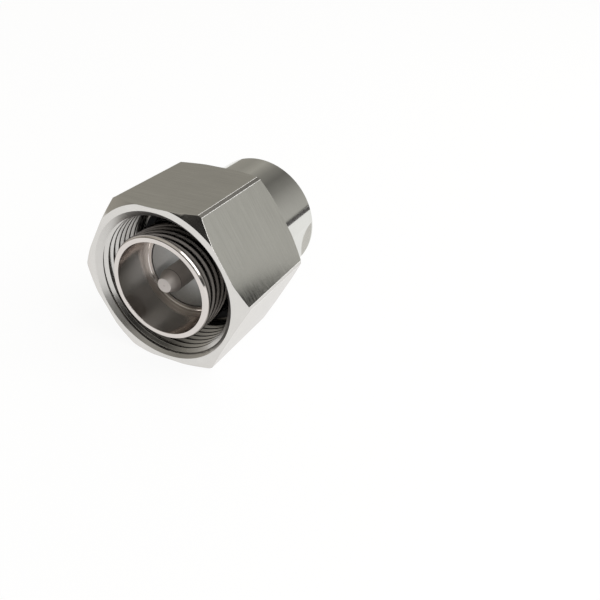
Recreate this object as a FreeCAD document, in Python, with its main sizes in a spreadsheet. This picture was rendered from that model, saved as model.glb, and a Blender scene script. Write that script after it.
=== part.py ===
# Coaxial terminator: a plug with a hexagon coupling nut, a solid outer contact, a centre pin
# and a disc load shut in behind a slotted screw plug.
#
# Frame: the part lies on a flat of its coupling nut. +Z is up, the mating end faces -Y, the
# origin is on the ground under the middle of the length. All sizes are in millimetres.
# Each turned piece is drawn in its own frame, with its axis along Y and its front end at
# y = 0, and its Placement carries it to its seat.

import math
import os

import FreeCAD, Part
import Sketcher

# Driving dimensions: name, millimetres (or degrees), meaning
DIMENSIONS = [
    ("overall_length", 37.7, "front of the outer contact to the rear face of the body"),
    ("hex_across_flats", 32.0, "coupling nut, wrench size"),
    ("nut_corner_turning", 0.225, "turned off the sharp corners of the hexagon, at the radius"),
    ("nut_length", 22.2, "coupling nut, mouth to rear face"),
    ("nut_setback", 0.5, "mouth of the nut behind the front of the outer contact"),
    ("nut_face_margin", 0.35, "flat end ring of the nut past its flats, at the radius"),
    ("nut_chamfer_length", 1.1, "length of the turned chamfers over the corners"),
    ("nut_wall", 2.3, "wall between the flats and the crests of the M29 thread"),
    ("mouth_flare", 1.4, "lead-in of the thread at the mouth, at 45 degrees"),
    ("thread_depth", 12.0, "mouth to the end of the thread"),
    ("thread_runout", 1.8, "end of the thread to the end of the wide bore"),
    ("body_step", 0.65, "body below the crests of the thread, at the radius"),
    ("running_gap", 0.25, "nut bore clear of the body, at the radius"),
    ("nut_travel", 0.4, "play of the nut along the axis, each way"),
    ("ring_thickness", 1.2, "retaining ring, along the axis"),
    ("ring_width", 1.8, "retaining ring, across its section"),
    ("ring_seat_depth", 0.9, "part of the retaining ring's section inside the body"),
    ("ring_split", 3.0, "opening of the retaining ring"),
    ("ring_axial_gap", 0.05, "ring clear of the sides of its groove in the nut"),
    ("ring_radial_gap", 0.3, "ring clear of the floors of both grooves"),
    ("shoulder_gap", 0.1, "shoulder of the body ahead of the end of the nut's wide bore"),
    ("wrench_flat_depth", 0.8, "two flats milled on the body, 24.5 mm across"),
    ("wrench_flat_turn", 15.0, "flats turned from upright, degrees"),
    ("wrench_flat_lip", 0.7, "full round left behind the flats"),
    ("wrench_flat_land", 0.55, "full round between the ring's groove and the flats"),
    ("edge_break", 0.25, "small chamfer on turned edges"),
    ("jack_gap", 3.05, "room between thread and outer contact for the tube of a jack"),
    ("contact_wall", 1.3, "outer contact"),
    ("contact_edge_break", 0.3, "chamfer on the front of the outer contact"),
    ("contact_shank_step", 0.25, "outer contact, seat inside the body, at the radius"),
    ("contact_shank_length", 5.8, "outer contact, seat inside the body"),
    ("seat_gap", 0.03, "fixed fits, at the radius"),
    ("lip_position", 8.4, "front of the outer contact to the lip in its bore"),
    ("lip_width", 1.3, "lip in the contact's bore, across its face"),
    ("lip_thickness", 1.0, "lip in the contact's bore"),
    ("chamber_step", 0.35, "bore behind the lip, past its opening, at the radius"),
    ("disc_face_gap", 0.12, "raised face of the load disc clear of the lip, at the radius"),
    ("disc_face_setback", 0.25, "load disc, raised face behind the front of the lip"),
    ("disc_rim_thickness", 0.9, "load disc, rim behind the lip"),
    ("chamber_gap", 0.05, "what sits in the chamber, at the radius"),
    ("pin_diameter", 4.7, "centre pin"),
    ("pin_tip_setback", 1.6, "front of the outer contact to the tip of the pin"),
    ("pin_nose_taper", 0.9, "radius lost over the taper"),
    ("pin_nose_length", 2.2, "taper of the pin"),
    ("stud_step", 0.85, "screwed end of the pin below the pin's radius"),
    ("stud_reach", 0.6, "stud past its nut"),
    ("stud_gap", 0.05, "holes clear of the stud, at the radius"),
    ("washer_width", 1.65, "washer on the stud, hole to edge"),
    ("washer_thickness", 0.5, "washer on the stud"),
    ("pin_nut_wall", 1.2, "hexagon nut on the stud, hole to flats"),
    ("pin_nut_thickness", 2.4, "hexagon nut on the stud"),
    ("finger_ring_sheet", 0.4, "contact ring behind the load disc, sheet thickness"),
    ("finger_ring_width", 1.8, "contact ring, across its section"),
    ("finger_slot_width", 0.5, "contact ring, slots between its fingers"),
    ("finger_root", 0.5, "contact ring, whole outer part behind the slots"),
    ("clamp_tube_wall", 1.3, "tube that clamps the load disc"),
    ("spring_thickness", 0.4, "disc spring"),
    ("spring_rise", 0.5, "disc spring, height of its dish"),
    ("plug_bore_step", 0.2, "bore of the screw plug past the chamber, at the radius"),
    ("plug_gap", 0.1, "screw plug clear of its bore, at the radius"),
    ("plug_length", 8.0, "slotted screw plug"),
    ("plug_recess", 0.15, "screw plug below the rear face"),
    ("slot_width", 1.2, "screwdriver slot"),
    ("slot_depth", 1.6, "screwdriver slot"),
    ("slot_turn", 9.0, "slot turned from level, the other way than the flats, degrees"),
    ("seal_groove_position", 1.4, "front of the plug to its sealing groove"),
    ("seal_thickness", 1.4, "sealing ring of the plug, square section"),
    ("seal_side_gap", 0.25, "sealing ring clear of the sides of its groove"),
    ("seal_gap", 0.04, "sealing ring clear of groove floor and bore"),
    ("gasket_thickness", 1.5, "face gasket on the shoulder of the body"),
    ("gasket_inner_gap", 0.85, "face gasket clear of the outer contact, at the radius"),
    ("gasket_outer_gap", 0.15, "face gasket inside the edge of the body, at the radius"),
]

FINGERS = 8
HEXAGON = 6
HEXAGON_CORNER = 2 / math.sqrt(3)
FULL_TURN = 360.0
OUTPUT = "parts"

doc = FreeCAD.newDocument("CoaxialTerminator")


class Size:
    """A size from the sheet, or worked out from some: its value and its binding expression."""

    def __init__(self, value, text):
        self.value = value
        self.text = text

    def __add__(self, other):
        return Size(self.value + other.value, f"({self.text} + {other.text})")

    def __sub__(self, other):
        return Size(self.value - other.value, f"({self.text} - {other.text})")

    def __mul__(self, factor):
        return Size(self.value * factor, f"({self.text} * {factor})")

    def __truediv__(self, divisor):
        return Size(self.value / divisor, f"({self.text} / {divisor})")


def fill_sheet():
    """Put the driving dimensions in the sheet and give each its alias."""
    sheet = doc.addObject("Spreadsheet::Sheet", "sizes")
    for row, (name, number, meaning) in enumerate(DIMENSIONS, start=1):
        sheet.set(f"A{row}", meaning)
        sheet.set(f"B{row}", str(number))
        sheet.setAlias(f"B{row}", name)
    doc.recompute()
    return {name: Size(float(sheet.get(name)), f"sizes.{name}") for name, _, _ in DIMENSIONS}


size = fill_sheet()
ZERO = Size(0.0, "0")


# Radii, from the flats of the nut inwards: each piece follows the one that it fits

FLAT_RADIUS = size["hex_across_flats"] / 2
CREST_RADIUS = FLAT_RADIUS - size["nut_wall"]
BODY_RADIUS = CREST_RADIUS - size["body_step"]
RING_INNER_RADIUS = BODY_RADIUS - size["ring_seat_depth"]
RING_OUTER_RADIUS = RING_INNER_RADIUS + size["ring_width"]
CONTACT_RADIUS = CREST_RADIUS - size["jack_gap"]
SHANK_RADIUS = CONTACT_RADIUS - size["contact_shank_step"]
CONTACT_BORE_RADIUS = CONTACT_RADIUS - size["contact_wall"]
LIP_RADIUS = CONTACT_BORE_RADIUS - size["lip_width"]
DISC_FACE_RADIUS = LIP_RADIUS - size["disc_face_gap"]
CHAMBER_RADIUS = LIP_RADIUS + size["chamber_step"]
SEATED_RADIUS = CHAMBER_RADIUS - size["chamber_gap"]
PLUG_BORE_RADIUS = CHAMBER_RADIUS + size["plug_bore_step"]
PLUG_RADIUS = PLUG_BORE_RADIUS - size["plug_gap"]
SEAL_OUTER_RADIUS = PLUG_BORE_RADIUS - size["seal_gap"]
SEAL_INNER_RADIUS = SEAL_OUTER_RADIUS - size["seal_thickness"]
SEAL_FLOOR_RADIUS = SEAL_INNER_RADIUS - size["seal_gap"]
PIN_RADIUS = size["pin_diameter"] / 2
PIN_TIP_RADIUS = PIN_RADIUS - size["pin_nose_taper"]
STUD_RADIUS = PIN_RADIUS - size["stud_step"]
STUD_HOLE_RADIUS = STUD_RADIUS + size["stud_gap"]


# Stations along the axis, from the front of the outer contact

NUT_FRONT = size["nut_setback"]
NUT_REAR = NUT_FRONT + size["nut_length"]
WIDE_BORE_REAR = NUT_FRONT + size["thread_depth"] + size["thread_runout"]
SHOULDER = WIDE_BORE_REAR - size["shoulder_gap"]
GASKET_FRONT = SHOULDER - size["gasket_thickness"]
RING_FRONT = (WIDE_BORE_REAR + NUT_REAR) / 2 - size["ring_thickness"] / 2
RING_REAR = RING_FRONT + size["ring_thickness"]
RING_PLAY = size["nut_travel"] + size["ring_axial_gap"]
FLAT_FRONT = RING_REAR + RING_PLAY + size["wrench_flat_land"]
FLAT_REAR = size["overall_length"] - size["wrench_flat_lip"]
SHANK_END = SHOULDER + size["contact_shank_length"]
LIP_REAR = size["lip_position"] + size["lip_thickness"]
DISC_FRONT = size["lip_position"] + size["disc_face_setback"]
DISC_REAR = LIP_REAR + size["disc_rim_thickness"]
WASHER_REAR = DISC_REAR + size["washer_thickness"]
PIN_NUT_REAR = WASHER_REAR + size["pin_nut_thickness"]
PLUG_REAR = size["overall_length"] - size["plug_recess"]
PLUG_FRONT = PLUG_REAR - size["plug_length"]
SPRING_HEIGHT = size["spring_thickness"] + size["spring_rise"]
SPRING_FRONT = PLUG_FRONT - SPRING_HEIGHT
TUBE_FRONT = DISC_REAR + size["finger_ring_sheet"]
SEAL_GROOVE_WIDTH = size["seal_thickness"] + size["seal_side_gap"] * 2


def new_body(label, station, turn=None, lean=-1):
    """A body whose frame sits on the axis, at a station from the front, turned about the axis.

    A lean of -1 turns its +X side up, a lean of 1 turns it down.
    """
    body = doc.addObject("PartDesign::Body", label)
    body.Label = label
    along = station - size["overall_length"] / 2
    height = size["hex_across_flats"] / 2
    if turn is not None:
        body.Placement.Rotation = FreeCAD.Rotation(FreeCAD.Vector(0, lean, 0), turn.value)
        body.setExpression("Placement.Rotation.Angle", turn.text + " * 1 deg")
    body.setExpression("Placement.Base.y", along.text)
    body.setExpression("Placement.Base.z", height.text)
    return body


def new_sketch(body, name, plane):
    """A sketch on one of the origin planes of its own body."""
    sketch = body.newObject("Sketcher::SketchObject", name)
    face = next(item for item in body.Origin.OriginFeatures if item.Role == plane)
    sketch.AttachmentSupport = [(face, "")]
    sketch.MapMode = "FlatFace"
    return sketch


def pin_point(sketch, edge, end, across, along):
    """Tie a corner of a sketch to its two distances from the origin."""
    for kind, axis, distance in (("DistanceX", -2, across), ("DistanceY", -1, along)):
        if distance is ZERO:
            sketch.addConstraint(Sketcher.Constraint("PointOnObject", edge, end, axis))
            continue
        index = sketch.addConstraint(
            Sketcher.Constraint(kind, -1, 1, edge, end, distance.value))
        sketch.setExpression(f"Constraints[{index}]", distance.text)


def outline(sketch, corners):
    """Closed outline of straight lines through corners given as (across, along) sizes."""
    first = sketch.GeometryCount
    points = [FreeCAD.Vector(across.value, along.value, 0) for across, along in corners]
    for start, end in zip(points, points[1:] + points[:1]):
        sketch.addGeometry(Part.LineSegment(start, end), False)
    for step, (across, along) in enumerate(corners):
        edge = first + step
        before = first + (step - 1) % len(corners)
        sketch.addConstraint(Sketcher.Constraint("Coincident", before, 2, edge, 1))
        pin_point(sketch, edge, 1, across, along)
    return first


def revolve(body, sketch, kind="PartDesign::Revolution"):
    """Turn a sketch on the XY plane about the axis of the part."""
    turned = body.newObject(kind, body.Label + "_turned")
    turned.Profile = sketch
    turned.ReferenceAxis = (sketch, ["V_Axis"])
    turned.Angle = FULL_TURN
    sketch.Visibility = False
    return turned


def turned_piece(label, station, corners, turn=None, lean=-1):
    """A piece that is turned from one outline, given as (radius, distance from its front)."""
    body = new_body(label, station, turn, lean)
    sketch = new_sketch(body, label + "_section", "XY_Plane")
    outline(sketch, corners)
    revolve(body, sketch)
    return body


def groove_cut(body, name, corners):
    """Cut a turned recess out of a body and make sure that it took material away."""
    doc.recompute()
    before = body.Shape.Volume
    sketch = new_sketch(body, name, "XY_Plane")
    outline(sketch, corners)
    revolve(body, sketch, "PartDesign::Groove")
    doc.recompute()
    if body.Shape.Volume >= before:
        raise RuntimeError(f"{name} cut nothing")


def through_cut(body, name, plane, corners):
    """Cut a straight-sided recess on both sides of a plane, as far as the piece goes."""
    doc.recompute()
    before = body.Shape.Volume
    sketch = new_sketch(body, name, plane)
    outline(sketch, corners)
    pocket = body.newObject("PartDesign::Pocket", name + "_cut")
    pocket.Profile = sketch
    pocket.Type = "ThroughAll"
    pocket.Midplane = True
    sketch.Visibility = False
    doc.recompute()
    if body.Shape.Volume >= before:
        raise RuntimeError(f"{name} cut nothing")
    return pocket


def hexagon_pad(body, name, across_flats, length):
    """Pad a hexagon along the axis from the front of its piece, with a flat facing down."""
    sketch = new_sketch(body, name, "XZ_Plane")
    corner = across_flats.value / 2 * HEXAGON_CORNER
    points = []
    for step in range(HEXAGON):
        angle = math.radians(FULL_TURN * step / HEXAGON)
        points.append(FreeCAD.Vector(corner * math.cos(angle), corner * math.sin(angle), 0))
    for start, end in zip(points, points[1:] + points[:1]):
        sketch.addGeometry(Part.LineSegment(start, end), False)
    circle = sketch.addGeometry(
        Part.Circle(FreeCAD.Vector(), FreeCAD.Vector(0, 0, 1), across_flats.value / 2), True)
    sketch.addConstraint(Sketcher.Constraint("Coincident", circle, 3, -1, 1))
    for edge in range(HEXAGON):
        sketch.addConstraint(
            Sketcher.Constraint("Coincident", edge, 2, (edge + 1) % HEXAGON, 1))
        sketch.addConstraint(Sketcher.Constraint("Tangent", edge, circle))
        if edge:
            sketch.addConstraint(Sketcher.Constraint("Equal", 0, edge))
    sketch.addConstraint(Sketcher.Constraint("PointOnObject", 0, 1, -1))
    index = sketch.addConstraint(Sketcher.Constraint("Diameter", circle, across_flats.value))
    sketch.setExpression(f"Constraints[{index}]", across_flats.text)
    pad = body.newObject("PartDesign::Pad", name + "_pad")
    pad.Profile = sketch
    pad.setExpression("Length", length.text)
    pad.Reversed = True
    sketch.Visibility = False
    doc.recompute()
    if body.Shape.CenterOfMass.y < body.Placement.Base.y:
        raise RuntimeError(f"{name} runs the wrong way")
    return pad


# The coupling nut: hexagon bar, corners turned and chamfered at both ends, bored in steps

def coupling_nut():
    body = new_body("coupling_nut", NUT_FRONT)
    hexagon_pad(body, "nut_hexagon", size["hex_across_flats"], size["nut_length"])
    corner = FLAT_RADIUS * HEXAGON_CORNER - size["nut_corner_turning"]
    face = FLAT_RADIUS + size["nut_face_margin"]
    outside = size["hex_across_flats"]
    chamfer_end = size["nut_length"] - size["nut_chamfer_length"]
    groove_cut(body, "nut_corners", [
        (face, ZERO),
        (corner, size["nut_chamfer_length"]),
        (corner, chamfer_end),
        (face, size["nut_length"]),
        (outside, size["nut_length"]),
        (outside, ZERO),
    ])
    mouth = CREST_RADIUS + size["mouth_flare"]
    bearing = BODY_RADIUS + size["running_gap"]
    floor = RING_OUTER_RADIUS + size["ring_radial_gap"]
    wide_end = WIDE_BORE_REAR - NUT_FRONT
    ring_front = RING_FRONT - NUT_FRONT - size["ring_axial_gap"]
    ring_rear = ring_front + size["ring_thickness"] + size["ring_axial_gap"] * 2
    groove_cut(body, "nut_bore", [
        (ZERO, ZERO),
        (mouth, ZERO),
        (CREST_RADIUS, size["mouth_flare"]),
        (CREST_RADIUS, wide_end),
        (bearing, wide_end),
        (bearing, ring_front),
        (floor, ring_front),
        (floor, ring_rear),
        (bearing, ring_rear),
        (bearing, size["nut_length"]),
        (ZERO, size["nut_length"]),
    ])
    return body


# The split ring that holds the nut on the body and lets it turn, its opening at the top

def retaining_ring():
    body = turned_piece("retaining_ring", RING_FRONT, [
        (RING_INNER_RADIUS, ZERO),
        (RING_OUTER_RADIUS, ZERO),
        (RING_OUTER_RADIUS, size["ring_thickness"]),
        (RING_INNER_RADIUS, size["ring_thickness"]),
    ])
    half = size["ring_split"] / 2
    doc.recompute()
    sketch = new_sketch(body, "ring_opening", "XY_Plane")
    outline(sketch, [
        (half, ZERO),
        (half, size["ring_thickness"]),
        (half - size["ring_split"], size["ring_thickness"]),
        (half - size["ring_split"], ZERO),
    ])
    before = body.Shape.Volume
    pocket = body.newObject("PartDesign::Pocket", "ring_opening_cut")
    pocket.Profile = sketch
    pocket.Type = "ThroughAll"
    pocket.Reversed = True
    sketch.Visibility = False
    doc.recompute()
    removed = before - body.Shape.Volume
    middle = body.Shape.Solids[0].CenterOfMass
    if not 0 < removed < before / 4 or middle.z >= body.Placement.Base.z:
        raise RuntimeError("the retaining ring is not split at its top")
    return body


# The turned body: shoulder for the gasket, seat of the outer contact, groove of the ring,
# wrench flats and the bore that the screw plug closes

def connector_body():
    front = SHOULDER
    length = size["overall_length"] - front
    brk = size["edge_break"]
    seat = SHANK_RADIUS + size["seat_gap"]
    seat_end = size["contact_shank_length"]
    ring_front = RING_FRONT - RING_PLAY - front
    ring_rear = RING_REAR + RING_PLAY - front
    floor = RING_INNER_RADIUS - size["ring_radial_gap"]
    body = turned_piece("connector_body", front, [
        (seat, ZERO),
        (BODY_RADIUS, ZERO),
        (BODY_RADIUS, ring_front),
        (floor, ring_front),
        (floor, ring_rear),
        (BODY_RADIUS, ring_rear),
        (BODY_RADIUS, length - brk),
        (BODY_RADIUS - brk, length),
        (PLUG_BORE_RADIUS + brk, length),
        (PLUG_BORE_RADIUS, length - brk),
        (PLUG_BORE_RADIUS, seat_end),
        (seat, seat_end),
    ], size["wrench_flat_turn"], lean=1)
    flat = BODY_RADIUS - size["wrench_flat_depth"]
    outside = BODY_RADIUS * 2
    pocket = through_cut(body, "wrench_flat", "XY_Plane", [
        (flat, FLAT_FRONT - front),
        (outside, FLAT_FRONT - front),
        (outside, FLAT_REAR - front),
        (flat, FLAT_REAR - front),
    ])
    before = body.Shape.Volume
    opposite = body.newObject("PartDesign::PolarPattern", "wrench_flats")
    opposite.Originals = [pocket]
    axis = next(item for item in body.Origin.OriginFeatures if item.Role == "Y_Axis")
    opposite.Axis = (axis, [""])
    opposite.Angle = FULL_TURN
    opposite.Occurrences = 2
    body.Tip = opposite
    doc.recompute()
    if body.Shape.Volume >= before:
        raise RuntimeError("the second wrench flat cut nothing")
    return body


# The outer contact: a solid sleeve with the lip that the load disc is clamped against

def outer_contact():
    bore = CONTACT_BORE_RADIUS
    brk = size["contact_edge_break"]
    return turned_piece("outer_contact", ZERO, [
        (bore, ZERO),
        (CONTACT_RADIUS - brk, ZERO),
        (CONTACT_RADIUS, brk),
        (CONTACT_RADIUS, SHOULDER),
        (SHANK_RADIUS, SHOULDER),
        (SHANK_RADIUS, SHANK_END),
        (CHAMBER_RADIUS, SHANK_END),
        (CHAMBER_RADIUS, LIP_REAR),
        (LIP_RADIUS, LIP_REAR),
        (LIP_RADIUS, size["lip_position"]),
        (bore, size["lip_position"]),
    ])


# The face gasket that seals against the jack

def face_gasket():
    inner = CONTACT_RADIUS + size["gasket_inner_gap"]
    outer = BODY_RADIUS - size["gasket_outer_gap"]
    return turned_piece("face_gasket", GASKET_FRONT, [
        (inner, ZERO),
        (outer, ZERO),
        (outer, size["gasket_thickness"]),
        (inner, size["gasket_thickness"]),
    ])


# The centre pin: flat tip, taper, shoulder on the load disc and a stud through it

def centre_pin():
    shoulder = DISC_FRONT - size["pin_tip_setback"]
    end = PIN_NUT_REAR + size["stud_reach"] - size["pin_tip_setback"]
    return turned_piece("centre_pin", size["pin_tip_setback"], [
        (ZERO, ZERO),
        (PIN_TIP_RADIUS, ZERO),
        (PIN_RADIUS, size["pin_nose_length"]),
        (PIN_RADIUS, shoulder),
        (STUD_RADIUS, shoulder),
        (STUD_RADIUS, end),
        (ZERO, end),
    ])


# The load disc, held at its rim by the lip and at its middle by the pin

def load_disc():
    step = LIP_REAR - DISC_FRONT
    length = DISC_REAR - DISC_FRONT
    return turned_piece("load_disc", DISC_FRONT, [
        (STUD_HOLE_RADIUS, ZERO),
        (DISC_FACE_RADIUS, ZERO),
        (DISC_FACE_RADIUS, step),
        (SEATED_RADIUS, step),
        (SEATED_RADIUS, length),
        (STUD_HOLE_RADIUS, length),
    ])


# Washer and hexagon nut that draw the pin against the load disc

def pin_washer():
    outer = STUD_HOLE_RADIUS + size["washer_width"]
    return turned_piece("pin_washer", DISC_REAR, [
        (STUD_HOLE_RADIUS, ZERO),
        (outer, ZERO),
        (outer, size["washer_thickness"]),
        (STUD_HOLE_RADIUS, size["washer_thickness"]),
    ])


def pin_nut():
    body = new_body("pin_nut", WASHER_REAR)
    across_flats = (STUD_HOLE_RADIUS + size["pin_nut_wall"]) * 2
    hexagon_pad(body, "pin_nut_hexagon", across_flats, size["pin_nut_thickness"])
    groove_cut(body, "pin_nut_hole", [
        (ZERO, ZERO),
        (STUD_HOLE_RADIUS, ZERO),
        (STUD_HOLE_RADIUS, size["pin_nut_thickness"]),
        (ZERO, size["pin_nut_thickness"]),
    ])
    return body


# The soft contact ring between the rim of the load disc and the clamp tube, slotted into
# fingers that follow the disc

def contact_ring():
    inner = SEATED_RADIUS - size["finger_ring_width"]
    body = turned_piece("contact_ring", DISC_REAR, [
        (inner, ZERO),
        (SEATED_RADIUS, ZERO),
        (SEATED_RADIUS, size["finger_ring_sheet"]),
        (inner, size["finger_ring_sheet"]),
    ])
    half = size["finger_slot_width"] / 2
    reach = SEATED_RADIUS - size["finger_root"]
    doc.recompute()
    before = body.Shape.Volume
    sketch = new_sketch(body, "finger_slot", "XZ_Plane")
    outline(sketch, [
        (ZERO, half),
        (reach, half),
        (reach, half - size["finger_slot_width"]),
        (ZERO, half - size["finger_slot_width"]),
    ])
    slot = body.newObject("PartDesign::Pocket", "finger_slot_cut")
    slot.Profile = sketch
    slot.Type = "ThroughAll"
    slot.Midplane = True
    sketch.Visibility = False
    pattern = body.newObject("PartDesign::PolarPattern", "finger_slots")
    pattern.Originals = [slot]
    axis = next(item for item in body.Origin.OriginFeatures if item.Role == "Y_Axis")
    pattern.Axis = (axis, [""])
    pattern.Angle = FULL_TURN
    pattern.Occurrences = FINGERS
    body.Tip = pattern
    doc.recompute()
    if body.Shape.Volume >= before:
        raise RuntimeError("the slots between the fingers cut nothing")
    return body


# The tube that presses the contact ring against the load disc

def clamp_tube():
    inner = SEATED_RADIUS - size["clamp_tube_wall"]
    length = SPRING_FRONT - TUBE_FRONT
    return turned_piece("clamp_tube", TUBE_FRONT, [
        (inner, ZERO),
        (SEATED_RADIUS, ZERO),
        (SEATED_RADIUS, length),
        (inner, length),
    ])


# The dished spring between the tube and the plug

def disc_spring():
    inner = SEATED_RADIUS - size["clamp_tube_wall"]
    rise = size["spring_rise"]
    return turned_piece("disc_spring", SPRING_FRONT, [
        (inner, rise),
        (SEATED_RADIUS, ZERO),
        (SEATED_RADIUS, size["spring_thickness"]),
        (inner, SPRING_HEIGHT),
    ])


# The slotted screw plug with its sealing groove

def rear_plug():
    brk = size["edge_break"]
    length = size["plug_length"]
    groove_front = size["seal_groove_position"]
    groove_rear = groove_front + SEAL_GROOVE_WIDTH
    body = turned_piece("rear_plug", PLUG_FRONT, [
        (ZERO, ZERO),
        (PLUG_RADIUS, ZERO),
        (PLUG_RADIUS, groove_front),
        (SEAL_FLOOR_RADIUS, groove_front),
        (SEAL_FLOOR_RADIUS, groove_rear),
        (PLUG_RADIUS, groove_rear),
        (PLUG_RADIUS, length - brk),
        (PLUG_RADIUS - brk, length),
        (ZERO, length),
    ], size["slot_turn"])
    half = size["slot_width"] / 2
    floor = length - size["slot_depth"]
    through_cut(body, "driver_slot", "YZ_Plane", [
        (floor, half - size["slot_width"]),
        (length + size["slot_depth"], half - size["slot_width"]),
        (length + size["slot_depth"], half),
        (floor, half),
    ])
    return body


# The sealing ring in the plug's groove

def plug_seal():
    station = PLUG_FRONT + size["seal_groove_position"] + size["seal_side_gap"]
    return turned_piece("plug_seal", station, [
        (SEAL_INNER_RADIUS, ZERO),
        (SEAL_OUTER_RADIUS, ZERO),
        (SEAL_OUTER_RADIUS, size["seal_thickness"]),
        (SEAL_INNER_RADIUS, size["seal_thickness"]),
    ])


PIECES = [
    coupling_nut,
    retaining_ring,
    connector_body,
    outer_contact,
    face_gasket,
    centre_pin,
    load_disc,
    pin_washer,
    pin_nut,
    contact_ring,
    clamp_tube,
    disc_spring,
    rear_plug,
    plug_seal,
]


def check_document(pieces):
    """Stop if any object failed or any piece is not one sound solid."""
    for item in doc.Objects:
        if "Invalid" in item.State or "Error" in item.State:
            raise RuntimeError(f"{item.Label} failed: {item.State}")
    for piece in pieces:
        shape = piece.Shape
        if shape.isNull() or not shape.isValid() or len(shape.Solids) != 1:
            raise RuntimeError(f"{piece.Label} is not one sound solid")


def export(pieces):
    """Write each piece where it sits in the part."""
    os.makedirs(OUTPUT, exist_ok=True)
    for piece in pieces:
        piece.Shape.exportStep(os.path.join(OUTPUT, piece.Label + ".step"))
        box = piece.Shape.BoundBox
        print(f"{piece.Label}: volume {piece.Shape.Volume:.1f}, "
              f"y {box.YMin:.2f} to {box.YMax:.2f}, z {box.ZMin:.2f} to {box.ZMax:.2f}")


pieces = [make() for make in PIECES]
doc.recompute()
check_document(pieces)
export(pieces)
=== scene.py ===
"""Coaxial terminator: a nickel-plated plug with a hexagon coupling nut round a solid outer
contact and a centre pin, and a round body with wrench flats and a slotted screw plug.

The part lies on a flat of its nut, its axis along Y and its mating end towards -Y. Every
turned piece is drawn in millimetres about the Y axis, with y = 0 at the front of the outer
contact, and is carried to its place in its mesh. An outline is a list of corners, each with
its radius, its station along the axis and its rounding.
"""

import math
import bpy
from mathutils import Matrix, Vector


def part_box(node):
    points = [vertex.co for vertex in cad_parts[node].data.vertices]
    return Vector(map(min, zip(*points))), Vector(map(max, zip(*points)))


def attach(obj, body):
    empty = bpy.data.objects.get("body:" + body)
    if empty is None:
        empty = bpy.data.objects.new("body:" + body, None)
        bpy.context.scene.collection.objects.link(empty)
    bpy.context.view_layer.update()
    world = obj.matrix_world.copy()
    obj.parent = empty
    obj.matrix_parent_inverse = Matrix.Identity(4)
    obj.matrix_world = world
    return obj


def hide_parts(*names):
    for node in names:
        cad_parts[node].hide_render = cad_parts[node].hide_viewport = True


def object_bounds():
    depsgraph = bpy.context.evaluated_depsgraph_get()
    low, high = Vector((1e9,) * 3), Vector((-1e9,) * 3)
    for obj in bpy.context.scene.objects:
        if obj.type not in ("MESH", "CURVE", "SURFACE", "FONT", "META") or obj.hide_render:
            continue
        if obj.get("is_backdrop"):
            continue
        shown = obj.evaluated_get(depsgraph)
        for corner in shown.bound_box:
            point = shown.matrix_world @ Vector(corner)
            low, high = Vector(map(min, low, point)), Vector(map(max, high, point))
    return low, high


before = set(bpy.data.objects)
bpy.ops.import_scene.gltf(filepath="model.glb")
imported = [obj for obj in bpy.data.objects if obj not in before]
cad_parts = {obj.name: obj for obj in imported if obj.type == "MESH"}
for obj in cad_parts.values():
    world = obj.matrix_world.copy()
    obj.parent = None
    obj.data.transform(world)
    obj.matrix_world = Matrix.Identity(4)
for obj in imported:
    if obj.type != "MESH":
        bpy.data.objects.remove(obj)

from types import SimpleNamespace

import bmesh
import bpy
from bpy.props import FloatProperty, FloatVectorProperty, PointerProperty
from mathutils import Matrix, Vector

bl_info = {
    "name": "Coaxial Terminator",
    "version": (1, 0, 0),
    "blender": (4, 5, 0),
    "location": "View3D > Sidebar > Terminator",
    "description": "Builds the visible pieces, finishes and studio of a coaxial terminator",
    "category": "Add Mesh",
}

CAD_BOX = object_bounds()
MM = 0.001

# What the frame gives: bodies, and the lowest and highest corners of its nodes
BODY, NUT = "connector", "nut"
CONTACT_LOW, CONTACT_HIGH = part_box("outer_contact")
NUT_LOW, NUT_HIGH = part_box("coupling_nut")
BODY_LOW, BODY_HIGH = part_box("connector_body")
PIN_LOW, PIN_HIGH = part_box("centre_pin")
DISC_LOW, DISC_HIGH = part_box("load_disc")
PLUG_LOW, PLUG_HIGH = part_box("rear_plug")
FRONT = CONTACT_LOW.y
AXIS_HEIGHT = (CONTACT_LOW.z + CONTACT_HIGH.z) / 2
TO_FRAME = Matrix.Translation((0, FRONT, AXIS_HEIGHT)) @ Matrix.Scale(MM, 4)

# Turning and cutting: lengths in millimetres, areas in square millimetres
FULL_TURN = 2 * math.pi
STEPS = 192  # of a full turn
HEXAGON = 6
FLANK_ANGLE = math.radians(30)  # of the coupling thread
LEAD_TURNS = 2  # of the thread that are swept before the mouth and then cut off
ROUNDED_FROM = math.radians(12)  # edges that are less sharp aren't softened
SHARP_FROM = math.radians(32)  # edges that are less sharp are shaded smooth
CUT_REACH = 1.2  # of a piece's radius, so that a cutter sticks out of it
FLAT_AREA = 50  # less than any milled flat and more than any turned face
SLOT_WALL_AREA = 5  # less than a wall of the slot
LEVEL = 1e-3  # points this near have the same station
NEAR = 0.1  # faces this near belong to a surface
ON_CONE = 0.03  # faces this near belong to the lead-in cone
ON_PLANE = 1e-6  # points this near lie on a cutting plane
SAME_POINT, SAME_TURN, SAME_CORNER = 1e-5, 2e-3, 0.05  # points this near are merged

# Outputs of the Texture Coordinate node and colour inputs of the Mix node
GENERATED, OBJECT = 0, 3
FIRST_COLOUR, SECOND_COLOUR = 6, 7

# Finishes: depth of the finest relief, edge tint of the metals, and two bands along the
# axis, as the begin and end of a soft step in millimetres, with their strength
BUMP_DISTANCE = MM * 0.01
PLATED_SHEEN = (0.86, 0.84, 0.83, 1.0)
POLISHED_SHEEN = (0.97, 0.97, 0.96, 1.0)
DULL_BEFORE_CORNER, DULL_STRENGTH = (2.6, 0.4), 0.22
# Painted shade: the dark line painted round the pin where its taper ends
TAPER_SHADE_LINE, TAPER_SHADE_STRENGTH = (0.03, 0.10), 0.9

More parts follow.
